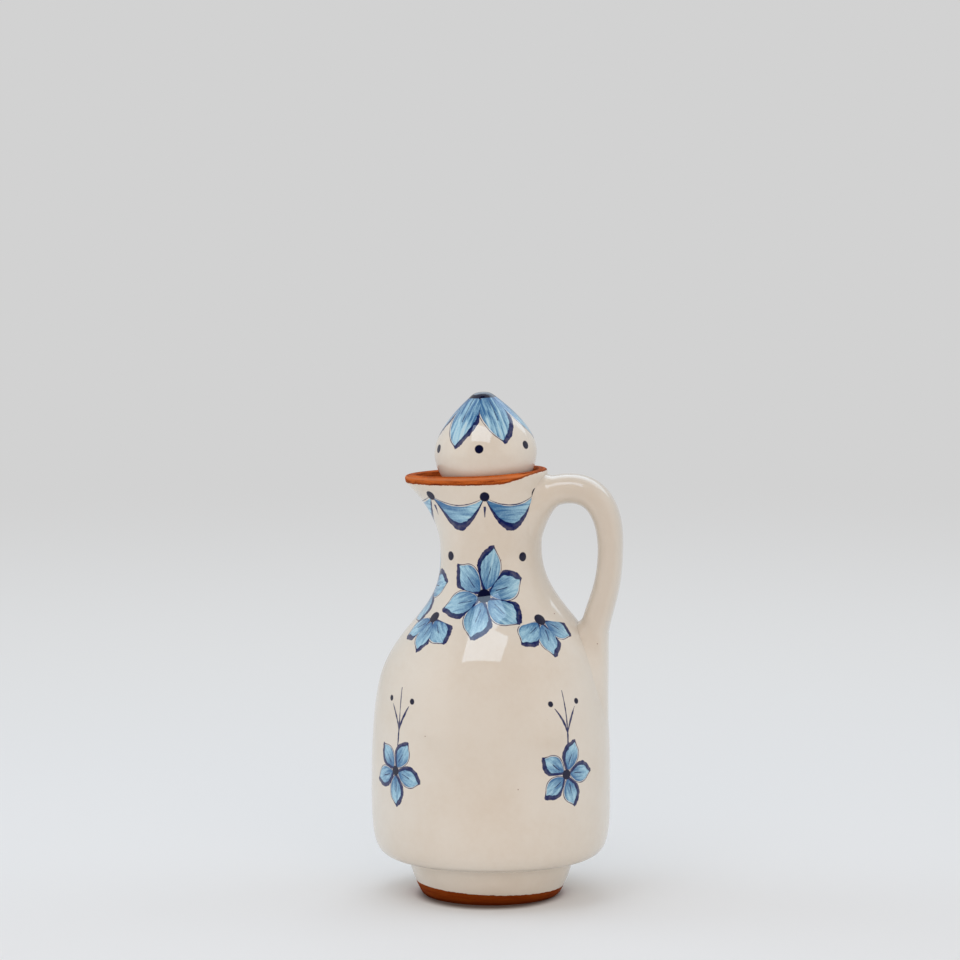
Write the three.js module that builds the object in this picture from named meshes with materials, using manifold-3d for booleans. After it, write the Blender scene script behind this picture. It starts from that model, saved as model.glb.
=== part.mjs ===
// Oil cruet of glazed terracotta, in millimetres with +Z up. A thrown jug has its lip pulled into a spout
// towards -X and a strap handle luted on at +X. A hollow stopper knob sits in the mouth, on a tapered
// cork that plugs the neck. The origin is the centre of the flat base.

import * as THREE from "three";
import { mergeVertices } from "three/addons/utils/BufferGeometryUtils.js";
import Module from "manifold-3d";

// Jug, outside: radii, and the rise from each level to the next
const FOOT_BASE_RADIUS = 27.8;
const FOOT_TOP_RADIUS = 31.2;
const FOOT_HEIGHT = 12.4;
const FOOT_BEVEL = 0.8;
const BELLY_RADIUS = 47.7;
const BELLY_RISE = 27.6;
const SHOULDER_RADIUS = 32;
const SHOULDER_RISE = 70;
const SHOULDER_SLOPE = THREE.MathUtils.degToRad(50);
const THROAT_RADIUS = 20.2;
const THROAT_RISE = 28;
const RIM_RADIUS = 22.5;
const RIM_RISE = 30.8;

// Heights above the base
const BELLY_HEIGHT = FOOT_HEIGHT + BELLY_RISE;
const SHOULDER_HEIGHT = BELLY_HEIGHT + SHOULDER_RISE;
const THROAT_HEIGHT = SHOULDER_HEIGHT + THROAT_RISE;
const RIM_HEIGHT = THROAT_HEIGHT + RIM_RISE;

// How far each stretch of the outline keeps its direction before it bends
const FOOT_SPLAY_WIDTH = 1.8;
const FOOT_SPLAY_RUN = 2.8;
const FOOT_CREASE_WIDTH = 0.5;
const FOOT_CREASE_RUN = 3.6;
const UNDERSIDE_WIDTH = 12.2;
const UNDERSIDE_RUN = 3.6;
const BELLY_CORNER = 20.5;
const BELLY_RUN = 40;
const SHOULDER_RUN = 21;
const COLLAR_RUN = 12.5;
const THROAT_RUN = 12;
const FLARE_WIDTH = 1.6;
const FLARE_RUN = 9;

// Jug, walls
const WALL = 5;
const NECK_WALL = 6.4;
const LIP_WALL = 4.2;
const LIP_ROUND = 1.5;
const FLOOR_THICKNESS = 6.5;
const FLOOR_DISH_RADIUS = 14;

// Spout: the lip is pulled out below an upright bead, ever less towards the throat and round the rim, and the
// rim tilts to it. The bead starts at a share of the way from the throat to the rim.
const LIP_PULL = 12;
const LIP_RAISE = 0.4;
const RIM_TILT = THREE.MathUtils.degToRad(3.6);
const SPOUT_SPREAD = THREE.MathUtils.degToRad(38);
const SPOUT_POINT = 1.7;
const SPOUT_FLARE = 1.8;
const BEAD_START = 0.875;

// Handle: its middle line, its section as thickness across the strap and width along Y, and how much thicker
// it is halfway over the arch
const HANDLE_ROOT_DROP = 11.2;
const HANDLE_ROOT_DEPTH = 3;
const HANDLE_ARCH_RUN = 14;
const HANDLE_ARCH_RISE = 8.2;
const HANDLE_BEND_RISE = 7.4;
const HANDLE_REACH = 47.5;
const HANDLE_WIDEST_DROP = 19;
const HANDLE_FALL_RUN = 17;
const HANDLE_LANDING_DROP = 4;
const HANDLE_STANDOFF = 5;
const HANDLE_LANDING_RUN = new THREE.Vector3(-1.5, 0, -10);
const HANDLE_LEAVING_RUN = new THREE.Vector3(-1, 0, -7);
const HANDLE_TAIL_DROP = 48;
const HANDLE_TAIL_SINK = 2.1;
const HANDLE_TAIL_RUN = new THREE.Vector3(0.5, 0, -12);
const HANDLE_ROOT_EASE = 8;
const HANDLE_ROOT_SECTION = { thickness: 18, width: 22 };
const HANDLE_CROWN_SWELL = 1.6;
const HANDLE_STRAP_SECTION = { thickness: 10, width: 17 };
const HANDLE_LANDING_SECTION = { thickness: 11.4, width: 19.5 };
const HANDLE_TAIL_SECTION = { thickness: 4.2, width: 17 };
const HANDLE_SQUARENESS = 0.82;

// Stopper: an egg-shaped knob on a cork, leaning to the spout as it sits in the tilted mouth
const STOPPER_LEAN = THREE.MathUtils.degToRad(3.3);
const KNOB_RING_WALL = 2.4;
const KNOB_SWELL = 3.35;
const KNOB_BELLY_DEPTH = 18.6;
const KNOB_RISE = 23.9;
const KNOB_TIP_RADIUS = 6.4;
const KNOB_TIP_HEIGHT = 1.6;
const KNOB_SIDE_RUN = 8.5;
const KNOB_CONE_RUN = new THREE.Vector2(5, -4);
const KNOB_WALL = 5;
const CORK_HEAD = 4;
const CORK_TAPER = 0.02;
const CORK_BEVEL = 0.8;

// Clearances
const LUTING_GAP = 0.3;
const SEAT_GAP = 0.3;
const CORK_GAP = 0.4;
const GLUE_GAP = 0.3;

// Faceting, and the distance within which points count as one
const ROUND_STEPS = 40;
const OUTLINE_STEPS = { foot: 4, underside: 8, side: 11, collar: 6, flare: 6, lip: 6, dish: 5 };
const STRAP_SIDES = 18;
const STRAP_STEPS = { arch: 24, fall: 8, tail: 8 };
const KNOB_STEPS = { hollow: 7, belly: 6, cone: 9, tip: 3 };
const ROUNDING = 1e-4;

const GLAZE = new THREE.MeshStandardMaterial({ color: 0xe0d5c4, roughness: 0.16, metalness: 0 });
const CORK = new THREE.MeshStandardMaterial({ color: 0xb98a5b, roughness: 0.9, metalness: 0 });

const wasm = await Module();
wasm.setup();

// A point of an outline: distance from the axis, height
function at(radius, height) {
  return new THREE.Vector2(radius, height);
}

function along(point, direction, length) {
  return point.clone().addScaledVector(direction, length);
}

function bezier(start, leave, arrive, end) {
  return new THREE.CubicBezierCurve(start, leave, arrive, end);
}

// The stretches of the jug's outer outline from the foot up to the lip, with the wall at both ends of each
function jugOutline() {
  const rise = at(-Math.cos(SHOULDER_SLOPE), Math.sin(SHOULDER_SLOPE));
  const heel = at(FOOT_BASE_RADIUS, FOOT_BEVEL);
  const waist = at(FOOT_TOP_RADIUS, FOOT_HEIGHT);
  const belly = at(BELLY_RADIUS, BELLY_HEIGHT);
  const shoulder = at(SHOULDER_RADIUS, SHOULDER_HEIGHT);
  const throat = at(THROAT_RADIUS, THROAT_HEIGHT);
  const lip = at(RIM_RADIUS, RIM_HEIGHT - LIP_ROUND);
  const up = at(0, 1);
  const foot = bezier(
    heel, along(heel, at(FOOT_SPLAY_WIDTH, FOOT_SPLAY_RUN), 1),
    along(waist, at(FOOT_CREASE_WIDTH, FOOT_CREASE_RUN), -1), waist);
  const underside = bezier(
    waist, along(waist, at(UNDERSIDE_WIDTH, UNDERSIDE_RUN), 1), along(belly, up, -BELLY_CORNER), belly);
  const side = bezier(belly, along(belly, up, BELLY_RUN), along(shoulder, rise, -SHOULDER_RUN), shoulder);
  const collar = bezier(
    shoulder, along(shoulder, rise, COLLAR_RUN), along(throat, up, -THROAT_RUN), throat);
  const flare = bezier(
    throat, along(throat, up, THROAT_RUN), along(lip, at(-FLARE_WIDTH, -FLARE_RUN), 1), lip);
  return {
    foot: { curve: foot, steps: OUTLINE_STEPS.foot },
    walls: [
      { curve: underside, steps: OUTLINE_STEPS.underside, from: WALL, to: WALL },
      { curve: side, steps: OUTLINE_STEPS.side, from: WALL, to: WALL },
      { curve: collar, steps: OUTLINE_STEPS.collar, from: WALL, to: NECK_WALL },
      { curve: flare, steps: OUTLINE_STEPS.flare, from: NECK_WALL, to: LIP_WALL },
    ],
  };
}

// Visits even steps along stretches that follow on from each other, with each join visited once
function visited(stretches, visit) {
  return stretches.flatMap((stretch, index) => {
    const first = index === 0 ? 0 : 1;
    const count = stretch.steps + 1 - first;
    return Array.from({ length: count }, (_, step) => visit(stretch, (step + first) / stretch.steps));
  });
}

// Points of the outer outline moved out by a distance along its normal, from the heel to the lip
function outsidePoints(grow) {
  const { foot, walls } = jugOutline();
  return visited([foot, ...walls], ({ curve }, share) => {
    const tangent = curve.getTangent(share);
    return along(curve.getPoint(share), at(tangent.y, -tangent.x), grow);
  });
}

// Points of the inner wall, from just above the foot up to the lip
function insidePoints() {
  return visited(jugOutline().walls, ({ curve, from, to }, share) => {
    const tangent = curve.getTangent(share);
    return along(curve.getPoint(share), at(-tangent.y, tangent.x), THREE.MathUtils.lerp(from, to, share));
  });
}

// The rounded top of the lip, from its outer to its inner edge, without the ends
function lipPoints() {
  const arc = new THREE.EllipseCurve(
    RIM_RADIUS - LIP_WALL / 2, RIM_HEIGHT - LIP_ROUND, LIP_WALL / 2, LIP_ROUND, 0, Math.PI);
  return arc.getPoints(OUTLINE_STEPS.lip).slice(1, -1);
}

// The outer radius of the jug at a height, between the points of its outline
function jugRadius(height) {
  const points = outsidePoints(0);
  const above = points.findIndex((point) => point.y >= height);
  const low = points[above - 1];
  const high = points[above];
  return THREE.MathUtils.mapLinear(height, low.y, high.y, low.x, high.x);
}

// A turned body with its outline's axis upright
function turned(outline) {
  const geometry = new THREE.LatheGeometry(outline, ROUND_STEPS);
  geometry.rotateX(Math.PI / 2);
  return geometry;
}

// Moves every vertex of a geometry by a function of its place
function reshaped(geometry, move) {
  const position = geometry.getAttribute("position");
  const vertex = new THREE.Vector3();
  for (let index = 0; index < position.count; index += 1) {
    vertex.fromBufferAttribute(position, index);
    move(vertex);
    position.setXYZ(index, vertex.x, vertex.y, vertex.z);
  }
  return geometry;
}

function toSolid(geometry) {
  const bare = geometry.clone();
  bare.deleteAttribute("normal");
  bare.deleteAttribute("uv");
  const merged = mergeVertices(bare, ROUNDING);
  const corners = merged.index.array;
  const kept = [];
  for (let first = 0; first < corners.length; first += 3) {
    const [a, b, c] = corners.slice(first, first + 3);
    if (a !== b && b !== c && c !== a) {
      kept.push(a, b, c);
    }
  }
  return new wasm.Manifold(new wasm.Mesh({
    numProp: 3,
    vertProperties: new Float32Array(merged.getAttribute("position").array),
    triVerts: new Uint32Array(kept),
  }));
}

function toGeometry(solid) {
  const { vertProperties, triVerts } = solid.getMesh();
  const geometry = new THREE.BufferGeometry();
  geometry.setAttribute("position", new THREE.BufferAttribute(vertProperties, 3));
  geometry.setIndex(new THREE.BufferAttribute(triVerts, 1));
  geometry.computeVertexNormals();
  return geometry;
}

// Pulls the lip out to the spout, most at -X, and tilts the rim to it, both fading down to the throat
function shapeMouth(vertex) {
  const height = (vertex.z - THROAT_HEIGHT) / RIM_RISE;
  const radius = Math.hypot(vertex.x, vertex.y);
  if (height <= 0 || radius === 0) {
    return;
  }
  const turn = Math.acos(THREE.MathUtils.clamp(-vertex.x / radius, -1, 1));
  const share = Math.exp(-((turn / SPOUT_SPREAD) ** SPOUT_POINT));
  const flare = Math.min(1, height / BEAD_START) ** SPOUT_FLARE;
  const stretch = 1 + (LIP_PULL * share * flare) / radius;
  vertex.x *= stretch;
  vertex.y *= stretch;
  vertex.z += (vertex.x * Math.tan(RIM_TILT) + LIP_RAISE * share) * height ** 2;
}

function jugBody() {
  const inside = insidePoints();
  const dish = new THREE.QuadraticBezierCurve(
    inside[0], at(FLOOR_DISH_RADIUS, FLOOR_THICKNESS), at(0, FLOOR_THICKNESS));
  const outline = [
    at(0, 0),
    at(FOOT_BASE_RADIUS - FOOT_BEVEL, 0),
    ...outsidePoints(0),
    ...lipPoints(),
    ...inside.slice().reverse(),
    ...dish.getPoints(OUTLINE_STEPS.dish).slice(1),
  ];
  return reshaped(turned(outline), shapeMouth);
}

// The handle's middle line: out from the neck, over the arch, down to the shoulder and along it
function handleStretches() {
  const point = (x, z) => new THREE.Vector3(x, 0, z);
  const rootHeight = RIM_HEIGHT - HANDLE_ROOT_DROP;
  const widestHeight = rootHeight - HANDLE_WIDEST_DROP;
  const landingHeight = SHOULDER_HEIGHT - HANDLE_LANDING_DROP;
  const tailHeight = SHOULDER_HEIGHT - HANDLE_TAIL_DROP;
  const root = point(jugRadius(rootHeight) - HANDLE_ROOT_DEPTH, rootHeight);
  const widest = point(HANDLE_REACH, widestHeight);
  const landing = point(jugRadius(landingHeight) + HANDLE_STANDOFF, landingHeight);
  const tail = point(jugRadius(tailHeight) - HANDLE_TAIL_SINK, tailHeight);
  const curve = (...points) => new THREE.CubicBezierCurve3(...points);
  const early = (share) => 1 - (1 - share) ** HANDLE_ROOT_EASE;
  const smooth = (share) => THREE.MathUtils.smoothstep(share, 0, 1);
  const even = (share) => share;
  return [
    {
      curve: curve(
        root, point(root.x + HANDLE_ARCH_RUN, rootHeight + HANDLE_ARCH_RISE),
        point(HANDLE_REACH, rootHeight + HANDLE_BEND_RISE), widest),
      steps: STRAP_STEPS.arch, from: HANDLE_ROOT_SECTION, to: HANDLE_STRAP_SECTION, ease: early,
      swell: HANDLE_CROWN_SWELL,
    },
    {
      curve: curve(
        widest, point(HANDLE_REACH, widestHeight - HANDLE_FALL_RUN),
        along(landing, HANDLE_LANDING_RUN, -1), landing),
      steps: STRAP_STEPS.fall, from: HANDLE_STRAP_SECTION, to: HANDLE_LANDING_SECTION, ease: smooth,
      swell: 0,
    },
    {
      curve: curve(
        landing, along(landing, HANDLE_LEAVING_RUN, 1), along(tail, HANDLE_TAIL_RUN, -1), tail),
      steps: STRAP_STEPS.tail, from: HANDLE_LANDING_SECTION, to: HANDLE_TAIL_SECTION, ease: even,
      swell: 0,
    },
  ];
}

// One ring of the strap: a rounded section square to the middle line
function strapRing(centre, tangent, thickness, width) {
  const across = new THREE.Vector3(tangent.z, 0, -tangent.x);
  const soften = (value) => Math.sign(value) * Math.abs(value) ** HANDLE_SQUARENESS;
  return Array.from({ length: STRAP_SIDES }, (_, side) => {
    const angle = (2 * Math.PI * side) / STRAP_SIDES;
    const corner = centre.clone().addScaledVector(across, (soften(Math.cos(angle)) * thickness) / 2);
    corner.y += (soften(Math.sin(angle)) * width) / 2;
    return corner;
  });
}

// A closed skin over rings of equal counts, with a fan over each end
function lofted(rings, startCentre, endCentre) {
  const count = rings[0].length;
  const points = [...rings.flat(), startCentre, endCentre];
  const start = points.length - 2;
  const end = points.length - 1;
  const faces = [];
  for (let side = 0; side < count; side += 1) {
    const next = (side + 1) % count;
    for (let ring = 0; ring < rings.length - 1; ring += 1) {
      const low = ring * count;
      const high = low + count;
      faces.push(low + side, low + next, high + next, low + side, high + next, high + side);
    }
    const last = (rings.length - 1) * count;
    faces.push(start, next, side, end, last + side, last + next);
  }
  const geometry = new THREE.BufferGeometry().setFromPoints(points);
  geometry.setIndex(faces);
  return geometry;
}

function handleStrap() {
  const stretches = handleStretches();
  const rings = visited(stretches, ({ curve, from, to, ease, swell }, share) => strapRing(
    curve.getPoint(share), curve.getTangent(share),
    THREE.MathUtils.lerp(from.thickness, to.thickness, ease(share)) + swell * Math.sin(Math.PI * share),
    THREE.MathUtils.lerp(from.width, to.width, ease(share))));
  const start = stretches[0].curve.getPoint(0);
  const end = stretches[stretches.length - 1].curve.getPoint(1);
  return lofted(rings, start, end);
}

// The handle ends on the jug's outside, a luting gap away from it
function handle() {
  const grown = outsidePoints(LUTING_GAP);
  const crown = RIM_HEIGHT + LUTING_GAP;
  const envelope = turned([
    at(0, 0), at(grown[0].x, 0), ...grown, at(RIM_RADIUS + LUTING_GAP, crown), at(0, crown)]);
  return toGeometry(toSolid(handleStrap()).subtract(toSolid(reshaped(envelope, shapeMouth))));
}

// The mouth from the throat up to the lip, as radii and heights about the leaning stopper's own axis
function mouthPoints() {
  const bore = insidePoints().filter((point) => point.y > THROAT_HEIGHT - ROUNDING);
  const upright = new THREE.Matrix4().makeRotationY(STOPPER_LEAN);
  return [...bore, ...lipPoints()].flatMap((point) => Array.from({ length: ROUND_STEPS }, (_, step) => {
    const angle = (2 * Math.PI * step) / ROUND_STEPS;
    const vertex = new THREE.Vector3(point.x * Math.cos(angle), point.x * Math.sin(angle), point.y);
    shapeMouth(vertex);
    vertex.z -= THROAT_HEIGHT;
    vertex.applyMatrix4(upright);
    return at(Math.hypot(vertex.x, vertex.y), vertex.z);
  }));
}

// The cork's radius at a height above the throat: a straight taper that clears the bore by the cork gap
function corkRadius(height) {
  const room = mouthPoints().map((point) => point.x - CORK_TAPER * point.y);
  return Math.min(...room) - CORK_GAP + CORK_TAPER * height;
}

// The height of the knob's widest ring, where its belly sits a seat gap clear of the mouth
function knobBeltHeight(knobRadius) {
  const seats = mouthPoints().map((point) => {
    const share = (point.x - SEAT_GAP) / knobRadius;
    return point.y + KNOB_BELLY_DEPTH * Math.sqrt(Math.max(0, 1 - share ** 2));
  });
  return Math.max(...seats);
}

function stopperKnob() {
  const corkTop = RIM_RISE + CORK_HEAD;
  const socket = corkRadius(corkTop) + GLUE_GAP;
  const ring = socket + KNOB_RING_WALL;
  const widest = ring + KNOB_SWELL;
  const belt = knobBeltHeight(widest);
  const top = belt + KNOB_RISE;
  const ceiling = top - KNOB_WALL;
  const ringAngle = Math.acos(ring / widest);
  const hollow = new THREE.EllipseCurve(0, corkTop, socket, ceiling - corkTop, Math.PI / 2, 0, true);
  const belly = new THREE.EllipseCurve(0, belt, widest, KNOB_BELLY_DEPTH, -ringAngle, 0);
  const shoulder = at(KNOB_TIP_RADIUS, top - KNOB_TIP_HEIGHT);
  const cone = bezier(
    at(widest, belt), at(widest, belt + KNOB_SIDE_RUN), along(shoulder, KNOB_CONE_RUN, 1), shoulder);
  const tip = new THREE.QuadraticBezierCurve(shoulder, at(KNOB_TIP_RADIUS / 2, top), at(0, top));
  const bellyPoints = belly.getPoints(KNOB_STEPS.belly);
  return turned([
    ...hollow.getPoints(KNOB_STEPS.hollow),
    at(socket, bellyPoints[0].y),
    ...bellyPoints,
    ...cone.getPoints(KNOB_STEPS.cone).slice(1),
    ...tip.getPoints(KNOB_STEPS.tip).slice(1),
  ]);
}

function stopperCork() {
  const top = RIM_RISE + CORK_HEAD;
  const wide = corkRadius(top);
  const narrow = corkRadius(0);
  return turned([
    at(0, 0),
    at(narrow - CORK_BEVEL, 0),
    at(narrow, CORK_BEVEL),
    at(wide, top - CORK_BEVEL),
    at(wide - CORK_BEVEL, top),
    at(0, top),
  ]);
}

function piece(name, geometry, material) {
  const mesh = new THREE.Mesh(geometry, material);
  mesh.name = name;
  return mesh;
}

const jug = new THREE.Group();
jug.add(piece("jug_body", jugBody(), GLAZE), piece("handle", handle(), GLAZE));

// The stopper is made about its own axis, with its heights counted from the throat
const stopper = new THREE.Group();
stopper.position.z = THROAT_HEIGHT;
stopper.rotation.y = -STOPPER_LEAN;
stopper.add(piece("stopper_knob", stopperKnob(), GLAZE), piece("stopper_cork", stopperCork(), CORK));

const cruet = new THREE.Group();
cruet.add(jug, stopper);

export default cruet;
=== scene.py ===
"""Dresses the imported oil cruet: the thrown jug, its luted handle, the corked stopper, and a plain stage."""

import math

import bmesh
import bpy
from bpy.props import FloatProperty, FloatVectorProperty, IntProperty, PointerProperty
from mathutils import Matrix, Vector, noise
from mathutils.geometry import interpolate_bezier


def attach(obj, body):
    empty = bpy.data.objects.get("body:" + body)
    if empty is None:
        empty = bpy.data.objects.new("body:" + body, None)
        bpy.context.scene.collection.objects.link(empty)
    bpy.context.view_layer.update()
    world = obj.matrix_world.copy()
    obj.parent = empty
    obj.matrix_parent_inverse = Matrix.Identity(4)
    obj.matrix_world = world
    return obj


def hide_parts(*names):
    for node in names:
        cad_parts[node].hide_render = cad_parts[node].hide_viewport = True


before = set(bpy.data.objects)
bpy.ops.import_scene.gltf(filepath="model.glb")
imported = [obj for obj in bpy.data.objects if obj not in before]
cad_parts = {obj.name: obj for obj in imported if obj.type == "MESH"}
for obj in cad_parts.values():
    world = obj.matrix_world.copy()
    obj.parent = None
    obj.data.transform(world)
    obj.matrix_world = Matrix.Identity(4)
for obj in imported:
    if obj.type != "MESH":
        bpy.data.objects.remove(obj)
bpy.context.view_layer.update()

bl_info = {
    "name": "Oil Cruet",
    "version": (1, 0, 0),
    "blender": (4, 5, 0),
    "location": "View3D > Sidebar > Cruet",
    "description": "Builds a glazed oil cruet: a painted jug, a strap handle and a corked stopper",
    "category": "Add Mesh",
}

MM = 0.001
UP = Vector((0, 0, 1))
RUN = "run"

# Faceting: steps round the axis, sides of the strap, steps along each stretch, and rings under the base
ROUND_STEPS = 144
STRAP_SIDES = 56
FACETS = {
    "foot": 10, "underside": 26, "side": 34, "collar": 20, "flare": 20, "lip": 12, "dish": 10,
    "arch": 44, "fall": 24, "tail": 34, "crown": 8, "cone": 24, "belly": 14, "hollow": 12,
}
BASE_RINGS = (0, 0.3, 0.6, 0.85, 1)
CREASE = math.radians(40)
SAME_POINT = 1e-6

# How far each stretch of the jug's outline keeps its direction before it bends, in millimetres
FOOT_BEVEL = 0.8
FOOT_LEAVE = (1.8, 2.8)
WAIST_ARRIVE = (0.5, 3.6)
WAIST_LEAVE = (11.4, 1.6)
BELLY_ARRIVE = (0, 24.6)
BELLY_LEAVE = (0, 40)
SHOULDER_ARRIVE = 21
SHOULDER_LEAVE = 12.5
THROAT_ARRIVE = (0, 12)
THROAT_LEAVE = (0, 12)
LIP_ARRIVE = (1.6, 9)
DISH_RADIUS = 14

# Where the shoulder is out of true, and how far up and down from there, in millimetres
SLUMP_HEIGHT = 112
SLUMP_SPAN = 27

# How the wall sways, how far a throwing ridge climbs in a radian, and where both fade out, in millimetres
SWAY = 0.22
SWAY_HEIGHT = 30
RIDGE_CLIMB = 0.68889
STEADY_RADIUS = 4

# The strap's sections in millimetres, thickness and width, how fast the root slims, and how square they are
ROOT_SECTION = (13, 20)
LANDING_SECTION = (11.3, 19.5)
TAIL_SECTION = (4.2, 17)
ROOT_EASE = 5
SQUARENESS = 0.82

# How far each stretch of the handle's middle line keeps its direction, in millimetres
ROOT_LEAVE = (14, 8.2)
WIDEST_ARRIVE = (0, -26.4)
WIDEST_LEAVE = (0, -17)
LANDING_ARRIVE = (-1.5, -10)
LANDING_LEAVE = (0.4, -9)
TAIL_ARRIVE = (0.5, -12)

# How far the clay of the handle's joints runs out under the jug's surface, in millimetres
LUTING_SINK = 0.7
LUTING_DEPTH = 2.2
LUTING_CURVE = 2.4

# How much less clay is smoothed on above the handle's root: out from the neck, and along it
OVER_REACH = 0.6
OVER_SPREAD = 0.7

# The knob's outline and hollow: how far its stretches keep their direction, and its wall, in millimetres
TIP_DROP = 1.7
CROWN_LEAVE = (2.4, 0)
CROWN_ARRIVE = (1.3, -1.2)
CONE_LEAVE = (5, -4)
BELT_ARRIVE = (0, -8.5)
KNOB_WALL = 5
SOCKET_BEVEL = 0.35
HOLLOW_PULL = 0.55

# The pulled lip: how its reach fades round the rim and down the neck
SPOUT_POINT = 1.7
SPOUT_FLARE = 1.8
BEAD_START = 0.875

# A painted petal: how fast it opens from its base, closes to its tip, and what that gives at its fullest
PETAL_BASE = 0.75
PETAL_TIP = 0.6
PETAL_FULLEST = 0.3956

# A blossom, in shares of its size: gap and dot at its eye, reach of its petals, its play, and their width
EYE_GAP = 0.12
EYE_DOT = 0.15
PETAL_REACH = 0.76
PETAL_PLAY = 0.12
PETAL_HALF = 0.3

# Numbers of petals: of a blossom, of the whole round that a fan is cut from, and of a sprig's blossom
BLOSSOM_PETALS = 6
FAN_PETALS = 7
SPRIG_PETALS = 5

# A sprig, in shares of its blossom's size: stem and its bend, the start and spread of its tendrils, dots
STEM_TOP = 2.6
STEM_BEND = 0.09
TENDRIL_START = 1.15
TENDRIL_SPREAD = 0.5
TENDRIL_DOT_RISE = 2.15
TENDRIL_DOT = 0.09

# How much wider than a blossom its share of the ring is, so that no petal is cut off
BLOSSOM_ROOM = 1.08

# How far a petal swings and a blossom rolls by chance, in radians
PETAL_SWING = 0.14
ROLL = 0.9

# Brush lines, in millimetres: the finest one, and the distance that is added where a line has ended
FINE_LINE = 0.34
AWAY = 9

# Between the blossoms, in millimetres: the dot above their ring, and the fan below it with its slant
DOT_RISE = 15
DOT_RADIUS = 1.8
FAN_DROP = 11
FAN_SLANT = 0.23

# The swags, in millimetres: how deep their upper and lower edges hang, and their dots and drops
SWAG_UPPER = 3.4
SWAG_LOWER = 12
SWAG_DOT = 1.9
SWAG_DROP = 9

# The knob's paint, in millimetres: reach, play, start and half width of a tongue, the dots, and the cap
TONGUE_REACH = 23
TONGUE_PLAY = 2.5
TONGUE_START = 3.4
TONGUE_HALF = 6.6
KNOB_DOT_RUN = 30
KNOB_DOT = 1.7
CAP_RADIUS = 6

# How far the glaze's lower edge slants, and how far the bare rim narrows towards the handle
FOOT_SLANT = 0.041
RIM_CLIMB = 2.9

# Heights and distances from the axis between which the strap comes free of the jug and gets its painted
# shade, in millimetres
FREE_HEIGHTS = (92, 118)
FREE_REACHES = (22, 34)

# The floor, in metres: its size, the painted shadow where the foot stands, and where its own glow sets in
FLOOR_RADIUS = 40
FLOOR_SIDES = 96
CONTACT_FADE = (0.0265, 0.034)
CONTACT_NARROWING = 1.1
CONTACT_SHIFT = 0.004
GLOW_FADE = (0.14, 0.7)
BACKDROP_FADE = (0.35, 1.6)

# The card, in metres: half its width, its near edge, the steps that it is folded in, and how it fades out
CARD_HALF = 2.6
CARD_EDGE = (-0.1, 0.004)
CARD_FOLDS = ((0, -2.1, 0), (0, 0, 2.4), (0, 2.6, 0.2))
CARD_SIDE_FADE = (CARD_HALF, 1.2)
CARD_UP_FADE = (0, 0.3)
CARD_OUT_FADE = (0.1, 0.6)

# The lights: place and size in metres, colour, and whether they only show in the glaze or only light it
MIRRORED = True
LIGHTING = False
LAMPS = {
    "softbox": ((-0.1, 0.05, 1.15), (2.0, 0.4), "soft_light", LIGHTING),
    "window": ((-0.17, -0.58, 1.05), (0.76, 0.5), "cool_light", MIRRORED),
    "sky_panel": ((0.3, 1.0, 1.1), (1.8, 0.9), "cool_light", MIRRORED),
    "left_panel": ((-1.2, 0.3, 0.5), (0.9, 1.2), "cool_light", LIGHTING),
    "right_panel": ((1.2, 0.3, 0.5), (0.9, 1.2), "cool_light", LIGHTING),
    "fill": ((0, -1.8, 0.6), (2.2, 1.0), "warm_light", LIGHTING),
}
LIT_POINT = Vector((0, 0, 0.1))
SENSOR_WIDTH = 36


def linear(red, green, blue):
    """A colour written as it shows on a screen, 0 to 255, as the linear colour that Blender takes."""
    def channel(value):
        share = value / 255
        return share / 12.92 if share <= 0.04045 else ((share + 0.055) / 1.055) ** 2.4
    return channel(red), channel(green), channel(blue), 1.0


def length(label, text, millimetres):
    return FloatProperty(name=label, description=text, default=millimetres * MM, unit="LENGTH", precision=5)


def angle(label, text, degrees):
    return FloatProperty(name=label, description=text, default=math.radians(degrees), subtype="ANGLE")


def power(label, text, watts):
    return FloatProperty(name=label, description=text, default=watts, unit="POWER")


def tint(label, text, *screen):
    return FloatVectorProperty(
        name=label, description=text, default=linear(*screen), size=4, min=0, max=1, subtype="COLOR")


def count(label, text, default):
    return IntProperty(name=label, description=text, default=default, min=1)


class JugSizes(bpy.types.PropertyGroup):
    foot_radius: length("Foot radius", "Radius of the foot where it stands", 27.8)
    waist_radius: length("Waist radius", "Radius where the foot meets the belly", 33)
    foot_height: length("Foot height", "Height of the foot under the belly", 14.5)
    belly_radius: length("Belly radius", "Largest radius of the jug", 47.7)
    belly_height: length("Belly height", "Height of the widest ring", 40)
    shoulder_radius: length("Shoulder radius", "Radius halfway up the shoulder", 32)
    shoulder_height: length("Shoulder height", "Height halfway up the shoulder", 110)
    shoulder_slope: angle("Shoulder slope", "Slope of the shoulder from level", 50)
    throat_radius: length("Throat radius", "Radius of the narrowest ring of the neck", 20.2)
    throat_height: length("Throat height", "Height of the narrowest ring of the neck", 138)
    rim_radius: length("Rim radius", "Outer radius of the rim, away from the spout", 22.5)
    rim_height: length("Rim height", "Height of the rim before it is tilted", 168.8)
    wall: length("Wall", "Thickness of the wall round the belly", 5)
    neck_wall: length("Neck wall", "Thickness of the wall at the throat", 6.4)
    lip_wall: length("Lip wall", "Thickness of the wall at the lip", 4.2)
    lip_round: length("Lip rounding", "Height of the rounded top of the lip", 1.5)
    floor: length("Floor", "Thickness of the floor", 6.5)
    lip_pull: length("Lip pull", "How far the lip is pulled out into the spout", 12)
    lip_raise: length("Lip raise", "How far the tip of the spout is lifted", 0.4)
    spout_spread: angle("Spout spread", "How wide the spout opens round the rim", 38)
    rim_tilt: angle("Rim tilt", "How far the rim leans down to the spout", 3.6)
    slump: length("Slump", "How far the shoulder sits towards the handle", 1.8)
    throwing: length("Throwing marks", "Depth of the faint ridges left by the potter's fingers", 0.028)


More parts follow.
